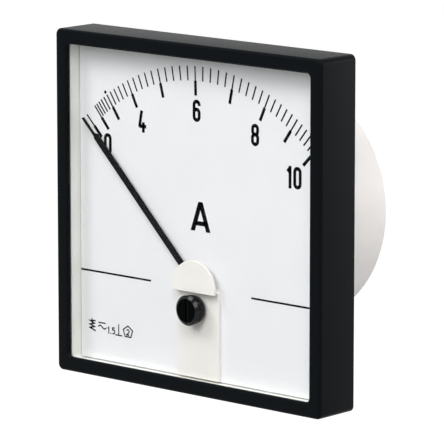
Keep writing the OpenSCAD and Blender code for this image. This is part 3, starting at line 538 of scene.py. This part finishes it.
# heights and widths inside a figure, as shares of its height and width; ends of arcs in degrees and
# corner radii in mm
shape = {"waist8": 0.52, "top8": 0.94, "loop6": 0.57, "drop6": 0.22, "end6": 160,
         "bar4": 0.24, "reach4": 1.02, "lean4": 0.42, "stem4": 0.74, "rise4": 0.46, "corner4": 0.12,
         "stem1": 0.48, "flagLow1": 0.79, "flagHigh1": 0.955, "flagFrom1": -0.02, "flagTo1": 0.44,
         "bowl5": 0.33, "arm5": 0.95, "back5": 0.1, "foot5": 0.04, "neck5": 0.6, "join5": 0.58,
         "middle5": 0.45, "wide5": 0.55, "from5": 100, "to5": -130, "steps5": 16, "corner5": 0.01,
         "from2": 165, "to2": -35, "foot2": 0.02, "lift2": 0.01}


def figureStrokes(kind, w, h, end):
    # centre lines of a narrow upright figure, w wide and h high, from its lower left corner at 0, 0, each
    # with whether it closes; square ends reach `end` further
    r = w / 2
    if kind == "0":
        return [(np.concatenate([arc(r, h - r, r, r, 0, 180), arc(r, r, r, r, 180, 360)]), True)]
    if kind == "8":
        waist, top = shape["waist8"] * h, r * shape["top8"]
        rings = ((waist + top, h - top, top), (r, waist - r, r))
        return [(np.concatenate([arc(r, high, ring, ring, 0, 180),
                                 arc(r, low, ring, ring, 180, 360)]), True) for low, high, ring in rings]
    if kind == "6":
        loop = shape["loop6"] * h
        tail = [(w, h - r - shape["drop6"] * r)]
        return [(np.concatenate([tail, arc(r, h - r, r, r, 0, 180), arc(r, r, r, r, 180, 360),
                                 arc(r, loop - r, r, r, 0, shape["end6"])]), False)]
    if kind == "4":
        bar, stem = shape["bar4"] * h, shape["stem4"] * w
        slope = eased([(shape["lean4"] * w, h + end, 0), (0, bar, shape["corner4"]),
                       (w * shape["reach4"] + end, bar, 0)])
        return [(slope, False), ([(stem, shape["rise4"] * h), (stem, -end)], False)]
    if kind == "1":
        stem = shape["stem1"] * w
        flag = [(shape["flagFrom1"] * w, h * shape["flagLow1"]),
                (shape["flagTo1"] * w, h * shape["flagHigh1"])]
        return [([(stem, h + end), (stem, -end)], False), (flag, False)]
    if kind == "5":
        bowl, foot = shape["bowl5"] * h, w * shape["foot5"]
        back = rounded([(w * shape["arm5"], h), (w * shape["back5"], h), (foot, h * shape["neck5"])],
                       shape["corner5"])
        curve = arc(w * shape["middle5"], bowl, w * shape["wide5"], bowl, shape["from5"], shape["to5"],
                    shape["steps5"])
        return [(back, False), (np.concatenate([[(foot, h * shape["join5"])], curve]), False)]
    if kind == "2":
        curve = arc(r, h - r, r, r, shape["from2"], shape["to2"])
        return [(np.concatenate([curve, [(shape["foot2"] * w, shape["lift2"] * h), (w, 0)]]), False)]


def figureAt(kind, x, z, w, h, stroke):
    # a figure's strokes as strips, with its lower left corner at (x, z)
    return [ribbon(np.asarray(path, float) + (x, z), stroke, closed=closed, **printed)
            for path, closed in figureStrokes(kind, w, h, stroke / 2)]


numerals = []
for kind, x, z in figure["places"]:
    inset = figure["stroke"] / 2
    numerals += figureAt(kind, x + inset, z + inset, figure["w"], figure["h"], figure["stroke"])
piece("scaleNumerals", joined(*numerals), onCase, "print_black")

# unit letter: two legs and a bar, half widths from the middle
letter = {"top": 4.1, "foot": -4.0, "peak": 0.78, "out": 3.6, "inside": 2.05,
          "barLow": -2.45, "barHigh": -1.2, "barWide": 2.3, "barNarrow": 1.9}
leg = np.array([(-letter["peak"], letter["top"]), (letter["peak"], letter["top"]),
                (-letter["inside"], letter["foot"]), (-letter["out"], letter["foot"])])
bar = [(-letter["barWide"], letter["barLow"]), (letter["barWide"], letter["barLow"]),
       (letter["barNarrow"], letter["barHigh"]), (-letter["barNarrow"], letter["barHigh"])]
piece("unitLetter", joined(slab(leg, **printed), slab(leg * (-1, 1), **printed), slab(bar, **printed)),
      onCase, "print_black")

# two lines from beside the cover to just short of the plate's edge
lines = {"z": -19.95, "inner": 18.3, "width": 0.52, "edgeGap": 0.02}
lineEnd = -boxOf("dial_plate")[0][0] - lines["edgeGap"]
piece("dialLines", joined(*[ribbon([(side * lines["inner"], lines["z"]), (side * lineEnd, lines["z"])],
                                   lines["width"], **printed) for side in (-1, 1)]), onCase, "print_black")

# signs at the lower left: movement, current, class, position and test
signs = {"stroke": 0.42, "fine": 0.36, "left": -0.72,
         "coil": [(-38.6, -34.0), (-40.6, -34.2), (-39.1, -34.8), (-40.7, -35.25), (-39.1, -35.75),
                  (-40.7, -36.2), (-38.6, -36.9)],
         "iron": [(-39.95, -33.5), (-39.95, -34.8)],
         "direct": [(-37.5, -34.3), (-34.8, -34.3)],
         "wave": {"from": -37.6, "to": -34.5, "z": -35.5, "height": 0.45, "points": 15},
         "upright": [(-29.8, -33.8), (-29.8, -36.95)],
         "base": [(-31.1, -36.95), (-28.5, -36.95)],
         "pentagon": {"x": -26.3, "z": -35.55, "rx": 1.85, "rz": 1.7},
         "point": {"x": -32.8, "z": -36.85, "r": 0.2, "sides": 12},
         "figures": (("1", -33.95, -36.8, 0.8, 1.65), ("5", -32.25, -36.8, 0.95, 1.65),
                     ("2", -26.8, -36.4, 0.95, 1.5))}
wave, pentagon, point = signs["wave"], signs["pentagon"], signs["point"]
waveLine = np.stack([np.linspace(wave["from"], wave["to"], wave["points"]),
                     wave["z"] + wave["height"] * np.sin(np.linspace(0, 2 * np.pi, wave["points"]))], -1)
fiveSides = arc(pentagon["x"], pentagon["z"], pentagon["rx"], pentagon["rz"], 90, 90 + 4 * 72, 4)
symbolParts = [ribbon(signs["coil"], signs["stroke"], **printed)]
for line in (signs["iron"], signs["direct"], waveLine, signs["upright"], signs["base"]):
    symbolParts.append(ribbon(line, signs["fine"], **printed))
symbolParts.append(ribbon(fiveSides, signs["fine"], closed=True, **printed))
symbolParts.append(slab(circle(point["x"], point["z"], point["r"], point["sides"]), **printed))
for kind, x, z, w, h in signs["figures"]:
    symbolParts += figureAt(kind, x, z, w, h, signs["fine"])
symbolPoints, symbolFaces = joined(*symbolParts)
piece("dialSymbols", (symbolPoints + (signs["left"], 0, 0), symbolFaces), onCase, "print_black")
say("dial print")


# zero knob: a rim with a recessed face, three grooves, a flange with two fine rings, and a pin behind;
# radii, heights along Y, and the roundings of its edges; rings are rows of (radius, y, rounding)
knob = {"z": -25, "face": -13.55, "rim": 3.3, "lip": 0.02, "rimWide": 0.1, "head": 4.2, "headBack": -12.9,
        "band": 0.06, "neck": 3.85, "flange": 4.05, "flangeFront": -11.2, "back": -10.0,
        "edge": {"lip": 0.04, "rim": 0.1, "head": 0.12, "neck": 0.05, "flange": 0.06, "back": 0.1},
        "grooves": 3, "grooveWide": 0.42, "grooveDepth": 0.13, "grooveStart": 0.2, "seam": 0.01,
        "groovePoints": 25,
        "rings": [(3.98, -10.78, 0.03), (3.8, -10.7, 0.04), (3.94, -10.6, 0.03),
                  (3.9, -10.36, 0.03), (3.72, -10.28, 0.04), (3.87, -10.18, 0.03)],
        "pinZ": -26.5, "pin": 0.6, "pinInside": 0.3, "pinEnd": -5.0, "pinEdge": 0.15,
        "steps": 112, "pinSteps": 32}
edge = knob["edge"]
face = {"recess": 0.12, "slot": 0.8, "slotDepth": 0.55, "sink": 0.05, "play": 0.01, "edge": 0.06,
        "steps": 40}
recessR = knob["rim"] - knob["lip"]
recessFloor = knob["face"] + face["slotDepth"]
front = eased([(0, recessFloor, 0),
               (recessR, recessFloor, 0),
               (recessR, knob["face"], edge["lip"]),
               (knob["rim"] + knob["rimWide"], knob["face"], edge["rim"]),
               (knob["head"], knob["headBack"] - knob["band"], edge["head"]),
               (knob["head"], knob["headBack"], edge["lip"]),
               (knob["neck"], knob["headBack"], edge["neck"]),
               (knob["neck"], knob["headBack"] + knob["grooveStart"] - knob["seam"], 0)])
# radius = neck - depth * (1 - cos(2 pi * groove count)) / 2
along = np.linspace(0, knob["grooves"], knob["groovePoints"])
grooved = np.stack([knob["neck"] - knob["grooveDepth"] * (1 - np.cos(2 * np.pi * along)) / 2,
                    knob["headBack"] + knob["grooveStart"] + knob["grooveWide"] * along], -1)
rear = eased([(knob["neck"], knob["flangeFront"], 0),
              (knob["flange"], knob["flangeFront"], edge["flange"]),
              *knob["rings"],
              (knob["neck"], knob["back"], edge["back"]),
              (0, knob["back"], 0)], steps=3)
pinFront = knob["back"] - knob["pinInside"]
pin = eased([(0, pinFront, 0), (knob["pin"], pinFront, 0), (knob["pin"], knob["pinEnd"], knob["pinEdge"]),
             (0, knob["pinEnd"], 0)])
piece("zeroKnob", joined(turned(np.concatenate([front, grooved, rear]), 0, knob["z"], knob["steps"]),
                         turned(pin, 0, knob["pinZ"], knob["pinSteps"])),
      "zero_adjuster", "knob_black", ("zero_adjuster",))

# the face is two half discs in the rim's recess, matt where the knob shines, with the screwdriver's slot
# between them
faceR = recessR - face["play"]
slotTurn = math.degrees(math.asin(face["slot"] / 2 / faceR))
halves = [slab(arc(0, knob["z"], faceR, faceR, start + slotTurn, start + 180 - slotTurn, face["steps"]),
               knob["face"] + face["recess"], recessFloor + face["sink"]) for start in (-90, 90)]
piece("knobFace", joined(*halves), "zero_adjuster", "knob_black", bevel=face["edge"], finish="knob_face")
say("knob")


# shapes that stay as they are and only get softer edges: bevel in mm, angle in degrees

soft = {
    "movementCover": {"node": "movement_cover", "body": onCase, "slot": "cover_white",
                      "bevel": 0.16, "segments": 3},
    "pointerArm": {"node": "pointer", "body": "moving_system", "slot": "pointer_black",
                   "bevel": 0.05, "angle": 50},
    "rearBarrel": {"node": "rear_barrel", "body": onCase, "slot": "barrel_white",
                   "bevel": 0.22, "segments": 3},
    "caseScrews": {"node": "case_screws", "body": onCase, "slot": "steel_zinc", "bevel": 0.1},
}
for name, settings in soft.items():
    softened(name, **settings)
say("cover, pointer and barrel")


# threads, nuts and washers

thread = {"flat": 0.1, "fade": 0.5, "turnSteps": 36, "rowSteps": 8}  # shares of a pitch, and steps
nut = {"steps": 72, "chamfer": 0.42, "chamferSteps": 5, "flatShare": 0.985, "boreEdge": 0.35}


def threaded(x, z, radius, start, end, pitch, depth, tip):
    # a rod whose radius falls and rises along a helix, with plain ends and a cone at its tip:
    # radius = outer - depth * (how far y / pitch less the turn is from a crest, past the flat crest and
    # up to the flat root), faded out at both ends
    turnSteps = thread["turnSteps"]
    rows = int((end - tip - start) / pitch * thread["rowSteps"]) + 1
    y, turn = np.meshgrid(np.linspace(start, end - tip, rows),
                          np.linspace(0, 2 * np.pi, turnSteps, endpoint=False), indexing="ij")
    crest = np.abs(((y / pitch - turn / (2 * np.pi)) % 1) * 2 - 1)
    fade = np.clip(np.minimum(y - start, end - tip - y) / (thread["fade"] * pitch), 0, 1)
    flank = np.clip((1 - crest - thread["flat"]) / (1 - 2 * thread["flat"]), 0, 1)
    r = radius - depth * fade * flank
    rods = np.stack([x + r * np.cos(turn), y, z + r * np.sin(turn)], -1)
    shrink = (radius - tip) / radius
    cone = (rods[-1] - (x, 0, z)) * (shrink, 1, shrink) + (x, tip, z)
    points = np.concatenate([rods.reshape(-1, 3), cone])
    ends = [list(range(turnSteps)), list(range(rows * turnSteps, (rows + 1) * turnSteps))]
    return points, gridFaces(rows + 1, turnSteps, False, True) + ends


def hexagon(x, z, corner, y0, y1, bore, chamfer=nut["chamfer"]):
    # a nut: at each height the radius is the lesser of the hexagon's and of the cone that trims its
    # corners; hexagon's radius = flat / cos(turn from the middle of the nearest side)
    edge, steps = nut["boreEdge"], nut["steps"]
    turn = np.linspace(0, 2 * np.pi, steps, endpoint=False)
    flat = corner * math.cos(math.pi / 6)
    sides = flat / np.cos((turn % (np.pi / 3)) - np.pi / 6)
    lift = np.linspace(0, chamfer, nut["chamferSteps"])
    trimmed = [np.minimum(sides, flat * nut["flatShare"] + d * math.sqrt(3)) for d in lift]
    rows = [(y0 + d, r) for d, r in zip(lift, trimmed)]
    rows += [(y1 - d, r) for d, r in zip(lift[::-1], trimmed[::-1])]
    rows += [(y1, bore + edge + 0 * turn), (y1 - edge, bore + 0 * turn),
             (y0 + edge, bore + 0 * turn), (y0, bore + edge + 0 * turn)]
    points = np.concatenate([np.stack([x + r * np.cos(turn), 0 * turn + y, z + r * np.sin(turn)], -1)
                             for y, r in rows])
    return points, gridFaces(len(rows), steps, True, True)


def washerSection(inner, outer, y0, y1, edge, steps):
    # a rectangle of (radius, y) with rounded corners
    return rounded([(inner, y0), (inner, y1), (outer, y1), (outer, y0)], edge, steps, closed=True)


def splitRing(x, z, inner, outer, y0, y1, gap, at, lean=0.12, edge=0.12, steps=90):
    # a rounded section carried round all but the gap, one end standing `lean` forward of the other:
    # y = section's y - lean * share of the turn
    turn = np.radians(np.linspace(at + gap / 2, at + 360 - gap / 2, steps))[:, None]
    section = washerSection(inner, outer, y0 + lean, y1, edge, 2)
    r, y = section[:, 0], section[:, 1] - lean * np.linspace(0, 1, steps)[:, None]
    points = np.stack([x + r * np.cos(turn), y, z + r * np.sin(turn)], -1)
    count = len(section)
    ends = [list(range(count)), list(range((steps - 1) * count, steps * count))]
    return points.reshape(-1, 3), gridFaces(steps, count, False, True) + ends


# panel studs: a round head and collar in the flange, and a thread behind
stud = {"at": 36, "r": 2, "collar": 2.4, "head": 4, "headFront": -2.4, "headBack": -1.3, "shoulder": -0.05,
        "end": boxOf("panel_studs")[1][1], "pitch": 0.7, "depth": 0.4, "tip": 0.6, "steps": 40,
        "smooth": 40}
collar = [(0, stud["headFront"]), (stud["head"], stud["headFront"]), (stud["head"], stud["headBack"]),
          (stud["collar"], stud["headBack"]), (stud["collar"], stud["shoulder"]), (0, stud["shoulder"])]
studs = []
for x, z in ((1, 1), (-1, 1), (-1, -1), (1, -1)):
    x, z = x * stud["at"], z * stud["at"]
    studs.append(turned(collar, x, z, stud["steps"]))
    studs.append(threaded(x, z, stud["r"], stud["shoulder"], stud["end"], stud["pitch"], stud["depth"],
                          stud["tip"]))
piece("panelStuds", joined(*studs), onCase, "steel_zinc", ("panel_studs",), angle=stud["smooth"])

# terminals: a hexagon head in the barrel, a plain core, a thread, two nuts, washers and a split ring;
# coreIn, coreOut and threadIn say how far inside the head and the last nut those ends lie
terminal = {"x": 14, "z": 6, "r": 2.5, "core": 2.3, "coreIn": 0.1, "coreOut": 0.6, "coreSteps": 48,
            "hexCorner": 4.6, "hexLength": 2.4, "hexBore": 0.6, "hexChamfer": 0.3, "nutLength": 3.5,
            "washer": 5, "washerEdge": 0.18, "washerSteps": 72, "spring": 4.4, "springGap": 9,
            "springAt": -35, "hole": 2.6, "pitch": 0.8, "depth": 0.42, "threadIn": 0.55, "tip": 0.6,
            "smooth": 40, "nutSmooth": 28}
nutLow, nutHigh = (corner[1] for corner in boxOf("terminal_nuts"))
washerLow, washerHigh = (corner[1] for corner in boxOf("terminal_washers"))
springLow, springHigh = (corner[1] for corner in boxOf("terminal_spring_washers"))
rodLow, rodHigh = (corner[1] for corner in boxOf("terminal_studs"))
core = [(0, rodLow + terminal["coreIn"]), (terminal["core"], rodLow + terminal["coreIn"]),
        (terminal["core"], nutHigh - terminal["coreOut"]), (0, nutHigh - terminal["coreOut"])]
washer = washerSection(terminal["hole"], terminal["washer"], washerLow, washerHigh,
                       terminal["washerEdge"], 3)
rods, nuts, washers, springs = [], [], [], []
for side in (-1, 1):
    x, z = side * terminal["x"], terminal["z"]
    rods.append(hexagon(x, z, terminal["hexCorner"], rodLow, rodLow + terminal["hexLength"],
                        terminal["hexBore"], terminal["hexChamfer"]))
    rods.append(turned(core, x, z, terminal["coreSteps"]))
    rods.append(threaded(x, z, terminal["r"], nutHigh - terminal["threadIn"], rodHigh, terminal["pitch"],
                         terminal["depth"], terminal["tip"]))
    for y in (nutLow, nutHigh - terminal["nutLength"]):
        nuts.append(hexagon(x, z, terminal["hexCorner"], y, y + terminal["nutLength"], terminal["core"]))
    washers.append(turned(washer, x, z, terminal["washerSteps"], closed=True))
    springs.append(splitRing(x, z, terminal["hole"], terminal["spring"], springLow, springHigh,
                             terminal["springGap"], terminal["springAt"]))
piece("terminalStuds", joined(*rods), onCase, "brass_part", ("terminal_studs",), angle=terminal["smooth"])
piece("terminalNuts", joined(*nuts), onCase, "brass_part", ("terminal_nuts",), angle=terminal["nutSmooth"])
piece("terminalWashers", joined(*washers), onCase, "brass_part", ("terminal_washers",),
      angle=terminal["smooth"])
piece("springWashers", joined(*springs), onCase, "steel_zinc", ("terminal_spring_washers",),
      angle=terminal["smooth"])
say("back of the meter")

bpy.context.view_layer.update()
say("written")
